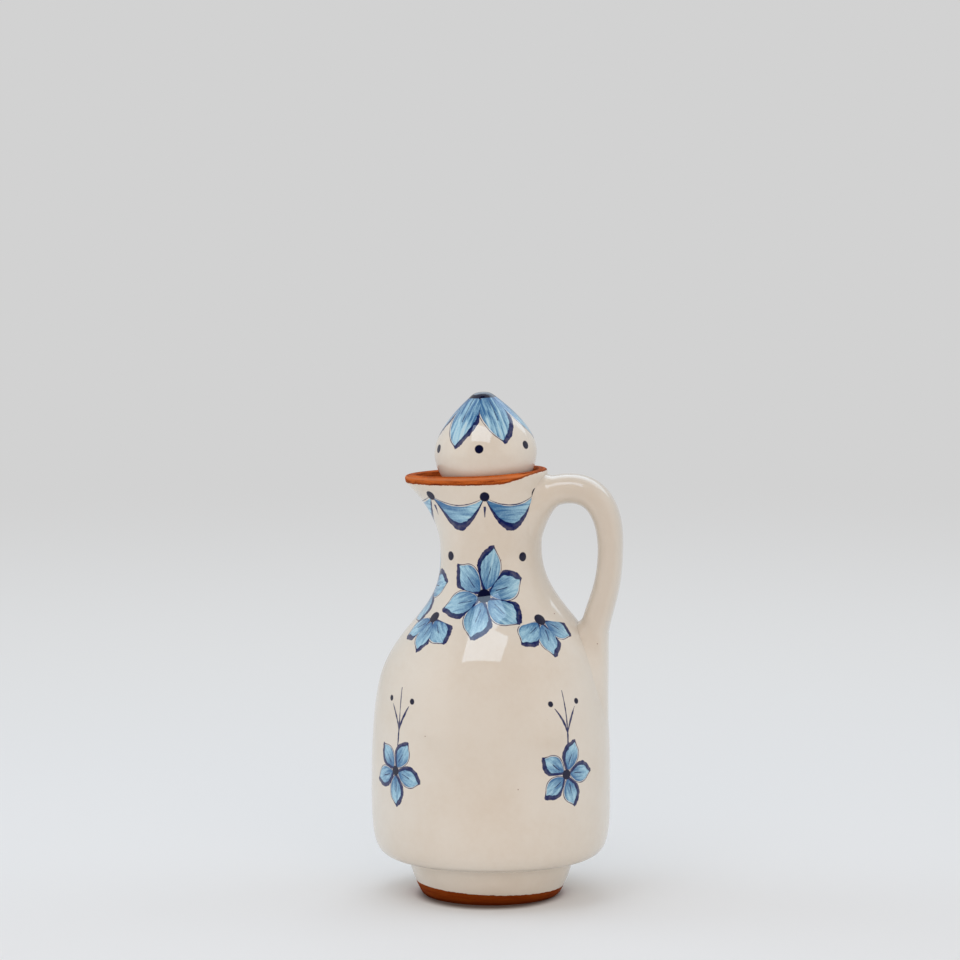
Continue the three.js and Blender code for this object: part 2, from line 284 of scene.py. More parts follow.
class HandleSizes(bpy.types.PropertyGroup):
    root_height: length("Root height", "Height at which the handle leaves the neck", 157.6)
    root_depth: length("Root depth", "How far the root is sunk in the neck", 4.2)
    reach: length("Reach", "Distance of the handle's middle line from the axis", 47.4)
    widest_height: length("Widest height", "Height at which the handle reaches farthest", 138.6)
    landing_height: length("Landing height", "Height at which the handle lands on the shoulder", 106)
    standoff: length("Standoff", "Distance of the middle line from the shoulder at the landing", 6.2)
    tail_height: length("Tail height", "Height at which the tail fades into the belly", 62)
    tail_sink: length("Tail sink", "How far the tail's middle line ends under the surface", 2.2)
    strap_thickness: length("Strap thickness", "Thickness of the strap at its slimmest", 9.9)
    strap_width: length("Strap width", "Width of the strap at its slimmest", 17)
    crown_swell: length("Crown swell", "How much thicker the strap is halfway over its arch", 1.6)
    fillet: length("Luting fillet", "Radius of the smoothed clay where the handle meets the jug", 5.2)
    web: length("Root web", "Reach of the clay smoothed under the root, out from the neck", 7.5)
    web_height: length("Root web height", "Reach of the clay smoothed under the root, down the neck", 20)


class StopperSizes(bpy.types.PropertyGroup):
    lean: angle("Lean", "How far the stopper leans to the spout", 3.3)
    seat_height: length("Seat height", "Height of the throat, from which the stopper is measured", 138)
    ring_radius: length("Ring radius", "Outer radius of the knob's lower ring", 16.9)
    socket_radius: length("Socket radius", "Radius of the hollow that takes the cork", 14.5)
    belt_height: length("Belt height", "Height of the knob's widest ring above the throat", 38.3)
    belt_radius: length("Belt radius", "Largest radius of the knob", 20.25)
    belly_depth: length("Belly depth", "Depth of the round underside of the knob", 18.6)
    tip_radius: length("Tip radius", "Radius of the blunt tip", 4.9)
    tip_height: length("Tip height", "Height of the blunt tip above the throat", 62.1)
    cork_narrow: length("Cork narrow end", "Radius of the cork at its lower end", 13.55)
    cork_wide: length("Cork wide end", "Radius of the cork at its upper end", 14.22)
    cork_length: length("Cork length", "Length of the cork", 34.4)
    cork_bevel: length("Cork bevel", "Bevel of the cork's ends", 0.8)


class Finishes(bpy.types.PropertyGroup):
    cream: tint("Cream glaze", "Colour of the glaze", 225, 217, 205)
    warm: tint("Warm glaze", "Colour of the glaze where it lies thin", 218, 206, 190)
    # Painted shade: the darker glaze where the strap of the handle stands free
    thin: tint("Shaded glaze", "Colour of the glaze over the strap of the handle", 208, 197, 183)
    wash: tint("Wash", "Colour of the thin blue wash", 166, 212, 232)
    deep_wash: tint("Deep wash", "Colour of the wash where it pools", 40, 104, 156)
    line: tint("Line", "Colour of the cobalt brush lines", 8, 22, 84)
    berry: tint("Dot", "Colour of the thick cobalt dots", 5, 8, 46)
    clay: tint("Bare clay", "Colour of the bare terracotta", 204, 104, 44)
    dark_clay: tint("Dark clay", "Colour of the terracotta in its streaks", 118, 42, 8)
    # Partly painted shade: the clay of the foot is darker towards the floor
    foot_clay_and_shade: tint("Foot clay", "Colour of the darker terracotta at the foot", 136, 62, 16)
    # Painted highlight: lighter clay along the lip's upper edge, where the light from above falls
    lip_highlight_clay: tint("Highlight clay", "Colour of the terracotta along the highlit edge of the lip", 226, 146, 98)
    # A dark fired line beside the glaze, and painted shade under the foot
    fired_edge_and_shade: tint("Fired edge", "Colour of the terracotta beside the glaze and under the foot", 62, 20, 4)
    cork: tint("Cork", "Colour of the cork", 196, 152, 104)
    dark_cork: tint("Dark cork", "Colour of the pores in the cork", 104, 66, 38)
    rim_band: length("Rim band", "Height of the bare clay at the rim", 3.5)
    foot_band: length("Foot band", "Height of the bare clay at the foot", 4.7)
    blossoms: count("Blossoms", "Number of blossoms in the ring round the shoulder", 4)
    blossom_size: length("Blossom size", "Reach of a petal from the middle of its blossom", 19)
    blossom_height: length("Blossom height", "Height of the ring of blossoms", 122)
    fan_size: length("Fan size", "Reach of the three petals between two blossoms", 16)
    sprig_size: length("Sprig size", "Reach of a petal of the hanging sprigs", 13)
    sprig_height: length("Sprig height", "Height of the blossoms at the ends of the hanging sprigs", 54)
    swags: count("Swags", "Number of swags in the border under the rim", 6)
    swag_height: length("Swag height", "Height of the ends of the swags", 160.5)
    tongues: count("Tongues", "Number of brushed tongues round the knob", 6)


class StageLook(bpy.types.PropertyGroup):
    floor: tint("Floor", "Colour of the floor near the cruet", 237, 237, 237)
    # Painted contact shadow on the floor round the foot
    painted_contact_shadow: tint("Contact", "Colour of the floor where the foot stands", 130, 118, 112)
    far_floor: tint("Far floor", "Colour of the floor where the light runs out", 223, 225, 227)
    backdrop: tint("Backdrop", "Colour of the distant floor and of what lies behind it", 210, 210, 210)
    aim: FloatVectorProperty(
        name="Aim", description="Point at the middle of the picture", default=(-0.0044, 0, 0.1651), size=3,
        subtype="TRANSLATION", unit="LENGTH")
    distance: FloatProperty(
        name="Distance", description="Distance of the camera from its aim", default=1.55, unit="LENGTH")
    elevation: angle("Elevation", "How far the camera looks down", 5.9)
    azimuth: angle("Azimuth", "How far the camera and the lights stand round to the handle", 7)
    focal: FloatProperty(
        name="Focal length", description="Focal length of the lens, in millimetres", default=147.15,
        unit="CAMERA")
    softbox: power("Softbox", "Power of the light overhead", 3.0)
    window: power("Window", "Power of the light that shows on the shoulder", 6)
    sky_panel: power("Sky panel", "Power of the panel behind that shows in upward faces", 9)
    left_panel: power("Left panel", "Power of the light at the left", 4.0)
    right_panel: power("Right panel", "Power of the light at the right", 2.8)
    fill: power("Fill", "Power of the broad light behind the camera", 8.6)
    warm_light: tint("Warm light", "Colour of the broad light behind the camera", 255, 222, 196)
    soft_light: tint("Soft light", "Colour of the light overhead", 232, 243, 255)
    cool_light: tint("Cool light", "Colour of the lights at the sides and of the reflections", 212, 235, 255)
    card: tint("Card", "Colour of the card that darkens the front of the room", 40, 40, 42)


class Value:
    """A shader socket: sums on it add Math nodes to its finish."""

    def __init__(self, finish, socket):
        self.finish = finish
        self.socket = socket

    def math(self, operation, *others):
        return self.finish.math(operation, self, *others)

    def __add__(self, other):
        return self.math("ADD", other)

    __radd__ = __add__

    def __sub__(self, other):
        return self.math("SUBTRACT", other)

    def __rsub__(self, other):
        return self.finish.math("SUBTRACT", other, self)

    def __mul__(self, other):
        return self.math("MULTIPLY", other)

    __rmul__ = __mul__

    def __truediv__(self, other):
        return self.math("DIVIDE", other)

    def __rtruediv__(self, other):
        return self.finish.math("DIVIDE", other, self)

    def __pow__(self, other):
        return self.math("POWER", other)

    def __neg__(self):
        return self.math("MULTIPLY", -1)

    def __abs__(self):
        return self.math("ABSOLUTE")

    def __gt__(self, other):
        return self.math("GREATER_THAN", other)

    def sin(self):
        return self.math("SINE")

    def cos(self):
        return self.math("COSINE")

    def round(self):
        return self.math("ROUND")

    def root(self):
        return self.math("SQRT")

    def least(self, other):
        return self.math("MINIMUM", other)

    def most(self, other):
        return self.math("MAXIMUM", other)

    def fade(self, start, end):
        """Goes smoothly from 0 at start to 1 at end, and stays there."""
        return self.finish.node(
            "ShaderNodeMapRange", {"interpolation_type": "SMOOTHSTEP"},
            {"Value": self, "From Min": start, "From Max": end})


class Finish:
    """A material or a world that is written as expressions."""

    def __init__(self, holder):
        self.holder = holder
        holder.use_nodes = True
        self.tree = holder.node_tree
        self.tree.nodes.clear()

    def node(self, kind, settings=None, sockets=None, output=0):
        """Adds a node, sets it up, fills its sockets with values or links, and gives one output."""
        made = self.tree.nodes.new(kind)
        for name, setting in (settings or {}).items():
            setattr(made, name, setting)
        for name, value in (sockets or {}).items():
            if isinstance(value, Value):
                self.tree.links.new(value.socket, made.inputs[name])
            else:
                made.inputs[name].default_value = value
        return Value(self, made.outputs[output])

    def math(self, operation, *values):
        return self.node("ShaderNodeMath", {"operation": operation}, dict(enumerate(values)))

    def millimetres(self):
        """Object coordinates in millimetres, as one vector."""
        place = self.node("ShaderNodeTexCoord", output="Object")
        return self.node("ShaderNodeVectorMath", {"operation": "SCALE"}, {0: place, "Scale": 1 / MM})

    def parts(self, vector):
        split = self.node("ShaderNodeSeparateXYZ", {}, {0: vector}).socket.node
        return [Value(self, output) for output in split.outputs]

    def vector(self, x, y, z):
        return self.node("ShaderNodeCombineXYZ", {}, {0: x, 1: y, 2: z})

    def attribute(self, name):
        return self.node("ShaderNodeAttribute", {"attribute_name": name}, output="Fac")

    def noise(self, vector, scale, detail=2.0, roughness=0.5):
        """Noise from 0 to 1, with the scale in features per millimetre."""
        return self.node(
            "ShaderNodeTexNoise", {},
            {"Vector": vector, "Scale": scale, "Detail": detail, "Roughness": roughness}, "Fac")

    def chance(self, value):
        """A number from 0 to 1 that is drawn afresh for each whole value."""
        return self.node("ShaderNodeTexWhiteNoise", {"noise_dimensions": "1D"}, {"W": value}, "Value")

    def mix(self, factor, first, second):
        return self.node("ShaderNodeMix", {"data_type": "RGBA"}, {0: factor, 6: first, 7: second}, 2)

    def bump(self, height, distance, strength=1.0):
        """Bump of a height from 0 to 1, with the distance in millimetres."""
        sockets = {"Strength": strength, "Distance": distance * MM, "Height": height}
        return self.node("ShaderNodeBump", {}, sockets, "Normal")

    def surface(self, **sockets):
        """Ends the finish in one Principled shader."""
        named = {name.replace("_", " "): value for name, value in sockets.items()}
        return self.ended("ShaderNodeOutputMaterial", self.node("ShaderNodeBsdfPrincipled", {}, named))

    def blended(self, factor, first, second):
        """Ends the finish in a blend of two shaders."""
        blend = self.node("ShaderNodeMixShader", {}, {0: factor, 1: first, 2: second})
        return self.ended("ShaderNodeOutputMaterial", blend)

    def ended(self, kind, shader):
        """Links a shader to an output node and gives what holds the tree."""
        output = self.tree.nodes.new(kind)
        self.tree.links.new(shader.socket, output.inputs["Surface"])
        return self.holder


def new_finish(name):
    return Finish(bpy.data.materials.new(name))


def hypot(first, second):
    return (first * first + second * second).root()


def bearing(first, second):
    """The angle of the point whose coordinates these are."""
    return second.math("ARCTAN2", first)


def petal(along, across, reach, half_width):
    """Distance inside a petal that starts at nought and comes to a soft point at its reach."""
    share = (along / reach).least(0.93).most(0.03)
    half = share ** PETAL_BASE * (1 - share) ** PETAL_TIP * (half_width / PETAL_FULLEST)
    steep = half / reach * (PETAL_BASE / share - PETAL_TIP / (1 - share))
    over = abs(along - share * reach)
    return (half - abs(across) - over) / (steep * steep + 1).root()


class Brush:
    """Blue brushwork in the making: how much wash, line and dot lies on each point of a glaze."""

    def __init__(self, finish, place):
        self.finish = finish
        self.hand = (finish.noise(place, 0.22, 3.0) - 0.5) * 1.5
        self.dry = finish.noise(place, 0.5, 2.0)
        self.grain = finish.noise(place, 1.6, 3.0, 0.7)
        self.wash = None
        self.tone = None
        self.line = None
        self.berry = None

    def laid(self, name, amount):
        before = getattr(self, name)
        setattr(self, name, amount if before is None else before.most(amount))

    def wash_in(self, inside, along, across, seed, shown=1.0, play=1.7):
        """Fills a shape with streaky wash: along runs from 0 to 1, across is in millimetres."""
        streak = self.finish.noise(self.finish.vector(along * 2.2, across * 0.85, seed * 13.7), 1.0, 3.0, 0.6)
        pool = inside.fade(1.5, 0.0)
        cover = (inside + self.hand * 0.45).fade(-0.12, 0.25) * shown
        tone = (streak - 0.42) * play + (self.grain - 0.5) * 0.6 + pool * 0.25 + (1 - along) * 0.8 - 0.08
        self.laid("tone", tone * cover)
        self.laid("wash", cover)

    def stroke(self, distance, width, shown=1.0):
        """Draws along the places whose distance is nought, and lets the line swell and thin."""
        half = width * (self.dry * 1.1 + 0.45) * 0.5
        self.laid("line", (abs(distance + self.hand * 0.25) - half).fade(0.1, -0.14) * shown)

    def dab(self, distance, radius, shown=1.0):
        """Sets a thick round dot."""
        self.laid("berry", (distance + self.hand * 0.25 - radius).fade(0.18, -0.18) * shown)

    def over(self, ground, look):
        """The colour of the ground with the brushwork on it."""
        blue = self.finish.mix(self.tone.fade(-0.15, 1.0), look.wash[:], look.deep_wash[:])
        thick = self.tone.fade(-0.35, 0.25) * 0.28 + 0.68
        washed = self.finish.mix(self.wash * thick, ground, blue)
        lined = self.finish.mix(self.line * (self.dry * 0.3 + 0.8).least(1.0), washed, look.line[:])
        return self.finish.mix(self.berry, lined, look.berry[:])


def repeated(turn, number, shift=0.0):
    """Divides a turn into equal cells: the angle from the nearest cell's middle, and that cell's number."""
    share = turn * (number / math.tau) + shift
    cell = share.round()
    local = (share - cell) * (math.tau / number)
    return local, (cell + 2 * number).math("MODULO", number)


def clear_of_handle(turn, number):
    """Masks the cell under the handle, of this number round the turn."""
    return (abs(turn) - math.pi / number).fade(-0.01, 0.01)


def paint_blossom(brush, across, up, size, petals, seed, roll, shown=1.0, eye=1.0):
    """Paints one blossom about the point where across and up are nought."""
    reach = hypot(across, up)
    local, number = repeated(bearing(across, up) + roll, petals)
    draw = brush.finish.chance(number * 1.7 + seed * 7.3)
    tilt = local + (draw - 0.5) * PETAL_SWING
    along = reach * tilt.cos() - EYE_GAP * size
    aside = reach * tilt.sin()
    span = draw * (PETAL_PLAY * size) + PETAL_REACH * size
    inside = petal(along, aside, span, PETAL_HALF * size)
    share = along / span
    brush.wash_in(inside + aside * 0.05 - 0.25, share.most(0.0), aside, seed + number * 3.1, shown)
    swell = aside.fade(-0.06 * size, 0.1 * size) * (0.09 * size + 0.2)
    brush.stroke(inside - 0.1, swell + FINE_LINE, shown)
    vein = abs(aside - (along * 0.5).sin() * 0.3) + share.fade(0.55, 0.85) + share.fade(0.25, 0.1)
    brush.stroke(vein, FINE_LINE, shown)
    brush.dab(reach, EYE_DOT * size, eye)


def paint_sprig(brush, aside, up, size, seed):
    """Paints a small blossom that hangs from a curved stem with two curling tendrils."""
    paint_blossom(brush, aside, up, size, SPRIG_PETALS, seed, brush.finish.chance(seed) * ROLL)
    stem_top = STEM_TOP * size
    bend = (up * (math.pi / stem_top)).sin() * (STEM_BEND * size)
    ends = up.fade(0.75 * size, 0.6 * size) * AWAY + up.fade(stem_top - 1, stem_top + 1) * AWAY
    brush.stroke(abs(aside - bend) + ends, (stem_top - up) * (0.6 / stem_top) + 0.4)
    rise = (up - TENDRIL_START * size) / size
    curl = rise ** 1.6 * (TENDRIL_SPREAD * size)
    tips = rise.fade(0.03, -0.03) * AWAY + rise.fade(0.85, 0.95) * AWAY
    brush.stroke(abs(abs(aside - bend) - curl) * 0.7 + tips, (rise * (0.95 - rise) * 3.4).most(0.0))
    apart = abs(aside - bend) - TENDRIL_SPREAD * size
    brush.dab(hypot(apart, up - TENDRIL_DOT_RISE * size), TENDRIL_DOT * size)


def paint_swags(brush, look, turn, radius, run, top):
    """Paints a border of hanging crescents with dots and drops where they meet."""
    local, cell = repeated(turn, look.swags, look.swags / 2)
    aside = local * radius
    half = radius * (math.pi / look.swags)
    shown = clear_of_handle(turn, look.swags)
    hang = 1 - (aside / half) ** 2
    drop = run - top
    upper = drop + hang * SWAG_UPPER
    lower = drop + hang * SWAG_LOWER
    inside = lower.least(-upper) * 0.85 - 0.3
    brush.wash_in(inside, (aside / half + 1) * 0.5, drop, cell + 60, shown)
    brush.stroke(lower * 0.8, hang * 2.2 + 0.3, shown)
    brush.stroke(upper, hang * 0.3 + 0.15, shown)
    join = abs(aside) - half
    brush.dab(hypot(join, drop - 0.2), SWAG_DOT, shown)
    tail = (-drop).fade(3.2, 3.8) * (-drop).fade(SWAG_DROP, SWAG_DROP - 1)
    brush.stroke(abs(join) + (1 - tail) * AWAY, (drop + SWAG_DROP + 0.2) * 0.22, shown)


def glaze_ground(finish, place, look):
    """The cream of the glaze, a little uneven, with a few pinhole specks."""
    cloud = finish.noise(place, 0.035, 3.0)
    fine = finish.noise(place, 0.4, 4.0, 0.65)
    thinness = (cloud - 0.5) * 1.6 + (fine - 0.5) * 0.5 + 0.35
    ground = finish.mix(thinness.fade(0.0, 1.0), look.cream[:], look.warm[:])
    cell = finish.node(
        "ShaderNodeTexVoronoi", {"feature": "F1"}, {"Vector": place, "Scale": 0.11, "Randomness": 1.0})
    gap = Value(finish, cell.socket.node.outputs["Distance"])
    draw = finish.node("ShaderNodeSeparateColor", {}, {0: Value(finish, cell.socket.node.outputs["Color"])})
    speck = (gap - draw * 0.035).fade(0.006, -0.012) * (draw > 0.55)
    return finish.mix(speck * 0.8, ground, look.dark_clay[:]), speck


def ragged_edge(finish, place):
    """How the edge of the glaze wavers, from -0.5 to 0.5."""
    return finish.noise(place, 0.5, 4.0, 0.6) - 0.5


def bare_clay(finish, place, turn, along, radius, light, dark):
    """Terracotta: sponge streaks along the turn and fine grains, from a light to a dark colour."""
    streak = finish.noise(finish.vector(turn * 3.0, along * 1.3, radius * 0.25), 1.0, 4.0, 0.6)
    grain = finish.noise(place, 2.4, 3.0, 0.7)
    tone = (streak - 0.5) * 2.2 + (grain - 0.5) * 0.9 + 0.4
    return finish.mix(tone.fade(0.0, 1.0), light, dark), streak * 0.6 + grain * 0.4


def glazed(finish, place, colour, speck, bare=None, relief=None):
    """Ends a finish as clay under a glassy coat with a slow wave in it, without the coat where it is bare."""
    rough = finish.noise(place, 0.3, 3.0) * 0.2 + 0.6
    height = finish.noise(place, 0.07, 2.0) * 0.35 - speck * 0.3
    coat = 1.0
    if bare is not None:
        coat = 1 - bare
        height = height + coat * 0.5 + relief * bare * 0.45
    return finish.surface(
        Base_Color=colour, Roughness=rough, Normal=finish.bump(height, 0.3), Specular_IOR_Level=0.04,
        Coat_Weight=coat, Coat_Roughness=0.04, Coat_IOR=1.46)


def linked(name, data):
    """An object of the scene that shows the data."""
    thing = bpy.data.objects.new(name, data)
    bpy.context.scene.collection.objects.link(thing)
    return thing


def meshed(name, bm, material):
    """An object of the scene with a bmesh as its mesh, in one material."""
    mesh = bpy.data.meshes.new(name)
    bm.to_mesh(mesh)
    bm.free()
    mesh.materials.append(material)
    return linked(name, mesh)


def finished(name, bm, material, body, node):
    """Turns a bmesh into a smooth piece that rides on a body and stands for a node."""
    piece = meshed(name, bm, material)
    piece.data.shade_smooth()
    piece.data.set_sharp_from_angle(angle=CREASE)
    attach(piece, body)
    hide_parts(node)


def extruded(bm, edges):
    """Extrudes a line or ring of edges, and gives the new vertices and the new edges between them."""
    grown = bmesh.ops.extrude_edge_only(bm, edges=edges)["geom"]
    verts = [item for item in grown if isinstance(item, bmesh.types.BMVert)]
    fresh = set(verts)
    return verts, [
        item for item in grown
        if isinstance(item, bmesh.types.BMEdge) and fresh.issuperset(item.verts)]


def at(radius, height):
    return Vector((radius, 0, height))


def offset(pair):
    """A step outwards and upwards that is written in millimetres."""
    return at(*pair) * MM


def bent(start, leave, arrive, end, steps):
    """Points of a curve that leaves and arrives along the two vectors."""
    return interpolate_bezier(start, start + leave, end - arrive, end, steps + 1)


def joined(stretches):
    """One list of points from stretches that follow on from each other."""
    return stretches[0] + [point for stretch in stretches[1:] for point in stretch[1:]]


def runs_along(points):
    """The distance from the first point to each point, along all of them."""
    runs = [0.0]
    for before, after in zip(points, points[1:]):
        runs.append(runs[-1] + (after - before).length)
    return runs


def read_off(value, table):
    """Reads a table of pairs in rising order, straight between its rows."""
    for low, high in zip(table, table[1:]):
        if value <= high[0]:
            break
    share = (value - low[0]) / (high[0] - low[0])
    return low[1] + (high[1] - low[1]) * share


def jug_stretches(jug):
    """The jug's outside as five curves: foot, underside, side, collar and flare."""
    heel = at(jug.foot_radius, FOOT_BEVEL * MM)
    waist = at(jug.waist_radius, jug.foot_height)
    belly = at(jug.belly_radius, jug.belly_height)
    shoulder = at(jug.shoulder_radius, jug.shoulder_height)
    throat = at(jug.throat_radius, jug.throat_height)
    lip = at(jug.rim_radius, jug.rim_height - jug.lip_round)
    rise = at(-math.cos(jug.shoulder_slope), math.sin(jug.shoulder_slope)) * MM
    return [
        bent(heel, offset(FOOT_LEAVE), offset(WAIST_ARRIVE), waist, FACETS["foot"]),
        bent(waist, offset(WAIST_LEAVE), offset(BELLY_ARRIVE), belly, FACETS["underside"]),
        bent(belly, offset(BELLY_LEAVE), rise * SHOULDER_ARRIVE, shoulder, FACETS["side"]),
        bent(shoulder, rise * SHOULDER_LEAVE, offset(THROAT_ARRIVE), throat, FACETS["collar"]),
        bent(throat, offset(THROAT_LEAVE), offset(LIP_ARRIVE), lip, FACETS["flare"]),
    ]


def inner_wall(points, start, end):
    """The points moved inwards, square to their line, by a wall that goes from start to end."""
    moved = []
    for index, point in enumerate(points):
        tangent = points[min(index + 1, len(points) - 1)] - points[max(index - 1, 0)]
        tangent.normalize()
        wall = start + (end - start) * index / (len(points) - 1)
        moved.append(point + at(-tangent.z, tangent.x) * wall)
    return moved


def jug_profile(jug):
    """The whole wall, from the middle of the base up the outside, over the lip and down to the floor."""
    foot, underside, side, collar, flare = jug_stretches(jug)
    edge = jug.foot_radius - FOOT_BEVEL * MM
    base = [at(edge * share, 0) for share in BASE_RINGS]
    outside = joined([foot, underside, side, collar, flare])
    middle = outside[-1] - at(jug.lip_wall / 2, 0)
    steps = FACETS["lip"]
    lip = [
        middle + at(jug.lip_wall / 2 * math.cos(turn), jug.lip_round * math.sin(turn))
        for turn in (math.pi * step / steps for step in range(1, steps + 1))]
    neck = [
        point - at(jug.neck_wall + (jug.lip_wall - jug.neck_wall) * index / (len(flare) - 1), 0)
        for index, point in enumerate(flare)]
    inside = joined([
        inner_wall(underside, jug.wall, jug.wall), inner_wall(side, jug.wall, jug.wall),
        inner_wall(collar, jug.wall, jug.neck_wall), neck])
    inside.reverse()
    rim = inside[-1]
    bottom = at(0, jug.floor)
    pull = at(DISH_RADIUS * MM, jug.floor)
    dish = bent(rim, (pull - rim) * (2 / 3), (bottom - pull) * (2 / 3), bottom, FACETS["dish"])
    return base + outside + lip + inside[1:] + dish[1:]


def jug_radius(jug):
    """A function that gives the jug's outer radius at a height."""
    table = [(point.z, point.x) for point in joined(jug_stretches(jug))]
    return lambda height: read_off(height, table)


def thrown(jug, point):
    """The point with a potter's small unevenness: out of round and true, with faint spiral ridges."""
    turn = math.atan2(point.y, point.x)
    sway = 0.5 + 0.5 * noise.noise(Vector((math.cos(turn), math.sin(turn), point.z / (SWAY_HEIGHT * MM))))
    ridge = 0.5 + 0.5 * math.sin(point.z / (RIDGE_CLIMB * MM) + turn)
    radius = math.hypot(point.x, point.y)
    shrink = (sway * SWAY * MM + ridge * jug.throwing) / max(radius, STEADY_RADIUS * MM)
    off = min(1, abs(point.z - SLUMP_HEIGHT * MM) / (SLUMP_SPAN * MM))
    slump = jug.slump * math.cos(math.pi / 2 * off) ** 2
    return Vector((point.x * (1 - shrink) + slump, point.y * (1 - shrink), point.z))


def pulled(jug, point):
    """The point after the lip is pulled out into the spout and the rim is tilted to it."""
    height = (point.z - jug.throat_height) / (jug.rim_height - jug.throat_height)
    radius = math.hypot(point.x, point.y)
    if height <= 0 or radius == 0:
        return point
    turn = math.acos(max(-1.0, min(1.0, -point.x / radius)))
    share = math.exp(-((turn / jug.spout_spread) ** SPOUT_POINT))
    stretch = 1 + jug.lip_pull * share * min(1, height / BEAD_START) ** SPOUT_FLARE / radius
    x = point.x * stretch
    lift = (x * math.tan(jug.rim_tilt) + jug.lip_raise * share) * height ** 2
    return Vector((x, point.y * stretch, point.z + lift))


def spun(profile):
    """A bmesh of a profile turned all the way round, with the run along it kept on each vertex."""
    bm = bmesh.new()
    layer = bm.verts.layers.float.new(RUN)
    verts = [bm.verts.new(point) for point in profile]
    for vert, run in zip(verts, runs_along(profile)):
        vert[layer] = run / MM
    edges = [bm.edges.new(pair) for pair in zip(verts, verts[1:])]
    bmesh.ops.spin(
        bm, geom=verts + edges, cent=(0, 0, 0), axis=UP, angle=math.tau, steps=ROUND_STEPS, use_merge=True)
    bmesh.ops.remove_doubles(bm, verts=bm.verts, dist=SAME_POINT)
    bmesh.ops.recalc_face_normals(bm, faces=bm.faces)
    return bm


def jug_finish(jug, look):
    """Cream glaze with a painted border, blossoms and sprigs, and bare clay at the rim, inside and below."""
    finish = new_finish("painted_glaze")
    place = finish.millimetres()
    x, y, z = finish.parts(place)
    run = finish.attribute(RUN)
    radius = hypot(x, y)
    turn = bearing(x, y)
    profile = jug_profile(jug)
    base = len(BASE_RINGS)
    outside = slice(base - 1, base + len(joined(jug_stretches(jug))))
    heights = [
        (point.z / MM, distance / MM)
        for point, distance in list(zip(profile, runs_along(profile)))[outside]]

    def level(height):
        return read_off(height, heights)

    # A ring of blossoms, with dots, fans and hanging sprigs in its gaps, and a border under the rim
    brush = Brush(finish, place)
    local, cell = repeated(turn, look.blossoms)
    shoulder = run - level(look.blossom_height / MM)
    shown = clear_of_handle(turn, look.blossoms)
    roll = finish.chance(cell) * ROLL
    size = look.blossom_size / MM
    across = local * radius.most(size * BLOSSOM_ROOM * look.blossoms / math.pi)
    paint_blossom(brush, across, shoulder, size, BLOSSOM_PETALS, cell, roll, shown, shown)
    local, cell = repeated(turn, look.blossoms, 0.5)
    aside = local * radius
    brush.dab(hypot(aside, shoulder - DOT_RISE), DOT_RADIUS)
    fan = shoulder + FAN_DROP
    below = (fan + abs(aside) * FAN_SLANT).fade(0.2, -0.2)
    paint_blossom(brush, aside, fan, look.fan_size / MM, FAN_PETALS, cell + 40, math.pi / 2, below)
    hanging = run - level(look.sprig_height / MM)
    paint_sprig(brush, aside, hanging, look.sprig_size / MM, cell + 20)
    paint_swags(brush, look, turn, radius, run, level(look.swag_height / MM))

    # Bare clay at the rim, inside and at the foot: painted highlight along the lip, dark beside the glaze,
    # painted shade below
    ground, speck = glaze_ground(finish, place, look)
    painted = brush.over(ground, look)
    ragged = ragged_edge(finish, place)
    rim_line = level((jug.rim_height - look.rim_band) / MM)
    foot_line = level(look.foot_band / MM)
    climb = x.fade(6.0, 21.0) * RIM_CLIMB
    above = run + ragged - climb - rim_line
    rim = above.fade(-0.12, 0.12)
    foot = (run + x * FOOT_SLANT + ragged * 0.9 - foot_line).fade(0.12, -0.12)
    bare = rim.most(foot)
    # Darker clay towards the floor, partly painted shade
    low = z.fade(8.0, 4.0)
    lip_line = level((jug.rim_height - jug.lip_round) / MM)
    within = (run - lip_line).fade(5.0, 12.0) * 0.7
    light = finish.mix(low, look.clay[:], look.foot_clay_and_shade[:])
    dark = finish.mix(within, look.dark_clay[:], look.clay[:])
    clay, relief = bare_clay(finish, place, turn, run, radius, light, dark)
    # Painted highlight: lighter streaks along the lip's upper edge
    highlight_streaks = abs(run - lip_line - 0.6).fade(0.9, 0.2) * (relief * 2.0 - 0.3).least(1.0).most(0.0)
    clay = finish.mix(highlight_streaks * 0.6, clay, look.lip_highlight_clay[:])
    border = abs(above - 0.35).fade(0.6, 0.1)
    # A dark fired line beside the glaze at the rim, and painted shade at the very bottom of the foot
    fired_edge_and_foot_shade = (border * 0.55).most(z.fade(2.4, 0.2) * 0.4)
    clay = finish.mix(fired_edge_and_foot_shade, clay, look.fired_edge_and_shade[:])
    edge = (run - climb - rim_line).fade(-1.2, 0.0) * 0.3
    colour = finish.mix(bare, finish.mix(edge, painted, look.warm[:]), clay)
    return glazed(finish, place, colour, speck, bare, relief)


def handle_finish(look):
    """The plain cream glaze of the handle, with painted shade that darkens it where the strap stands free."""
    finish = new_finish("plain_glaze")
    place = finish.millimetres()
    x, y, z = finish.parts(place)
    ground, speck = glaze_ground(finish, place, look)
    # Painted shade: the glaze darkens where the strap stands free of the jug
    free = z.fade(*FREE_HEIGHTS) * x.fade(*FREE_REACHES)
    return glazed(finish, place, finish.mix(free * 0.5, ground, look.thin[:]), speck)


